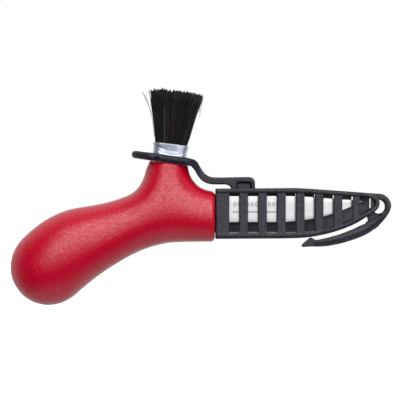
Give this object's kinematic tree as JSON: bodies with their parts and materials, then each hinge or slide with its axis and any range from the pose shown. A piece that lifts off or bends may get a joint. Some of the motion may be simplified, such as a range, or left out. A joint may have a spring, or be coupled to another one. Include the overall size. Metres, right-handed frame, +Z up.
{
  "type": "mushroom foraging knife with brush and sheath",
  "caption": "Mushroom knife with a bulbous moulded handle, short blade and cleaning brush, in a slotted plastic sheath with ring strap, hang loop and belt clip.",
  "frame": {"origin": "centre of the whole object's bounding box, on the knife's mid plane", "axes": "+X along the blade towards its tip, +Z up from the cutting edge past the spine towards the brush, Y across the knife's thickness with -Y as the front side"},
  "size_m": [0.1805, 0.0334, 0.1026],
  "materials": {
    "handle_red": "fine-grained satin moulded polypropylene",
    "sheath_black": "spark-eroded matte moulded polypropylene",
    "blade_steel": "brushed stainless",
    "ferrule_tin": "bright tinned sheet",
    "brush_wood": "raw beech",
    "brush_resin": "cured setting resin",
    "bristle_hair": "black boar bristle"
  },
  "bodies": {
    "knife": {"handle": "handle_red", "blade": "blade_steel", "brush_ferrule": "ferrule_tin", "brush_peg": "brush_wood", "bristle_setting": "brush_resin", "bristle_tuft": "bristle_hair"},
    "sheath": {"sheath_body": "sheath_black"},
    "strap": {"retaining_strap": "sheath_black"},
    "clip": {"belt_clip": "sheath_black"}
  },
  "joints": [
    {"name": "sheath_slide", "type": "slide", "parent": "knife", "child": "sheath", "axis": [1, 0, 0], "range_m": [0, 0.085], "deforming": ["retaining_strap"]},
    {"name": "strap_lift", "type": "hinge", "parent": "sheath", "child": "strap", "pos_m": [0.01454, 0, 0.00754], "axis": [0, 1, 0], "range_deg": [0, 80], "deforming": ["bristle_tuft"]},
    {"name": "clip_spring", "type": "hinge", "parent": "sheath", "child": "clip", "pos_m": [0.07954, 0, -0.01468], "axis": [0, -1, 0], "range_deg": [0, 12]}
  ]
}
